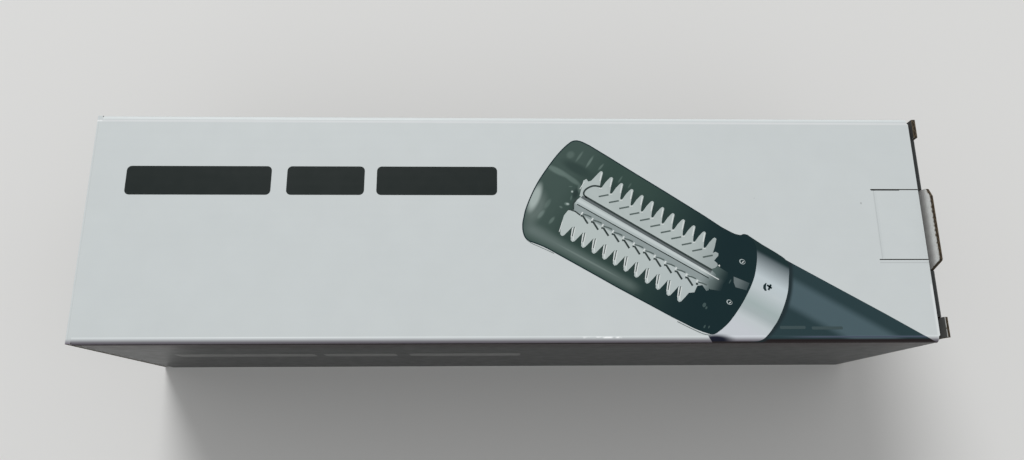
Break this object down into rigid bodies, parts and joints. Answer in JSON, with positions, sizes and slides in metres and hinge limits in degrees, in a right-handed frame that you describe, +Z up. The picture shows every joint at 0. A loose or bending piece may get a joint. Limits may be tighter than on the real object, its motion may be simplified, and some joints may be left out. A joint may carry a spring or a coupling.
{
  "type": "printed tuck-end carton",
  "caption": "Long rectangular carton of thin corrugated board with printed faces, opposed tuck closures with slit locks, and a standing tongue at the right end.",
  "frame": {"origin": "centre of the carton's underside, on the surface it lies on", "axes": "+X along the carton towards the end with the tongue, +Y from the front panel to the back panel, +Z up through the printed top panel"},
  "size_m": [0.2838, 0.0782, 0.0812],
  "materials": {
    "printed_board": "white print under a thin gloss coat, whitish inside, brown raw edges",
    "slate_board": "dark slate print under a thin gloss coat, whitish inside, brown raw edges",
    "ink": "printed ink under a thin gloss coat",
    "kraft_edge": "bare brown board, cut or scuffed"
  },
  "bodies": {
    "carton": {"carton_shell": "printed_board"},
    "right_flap": {"right_closure": "slate_board"},
    "left_flap": {"left_closure": "printed_board"}
  },
  "joints": [
    {"name": "right_closure_crease", "type": "hinge", "parent": "carton", "child": "right_flap", "pos_m": [0.1408, 0, 0.00065], "axis": [0, 1, 0], "range_deg": [0, 89.3]},
    {"name": "left_closure_crease", "type": "hinge", "parent": "carton", "child": "left_flap", "pos_m": [-0.1408, 0, 0.07735], "axis": [0, 1, 0], "range_deg": [0, 130]}
  ]
}
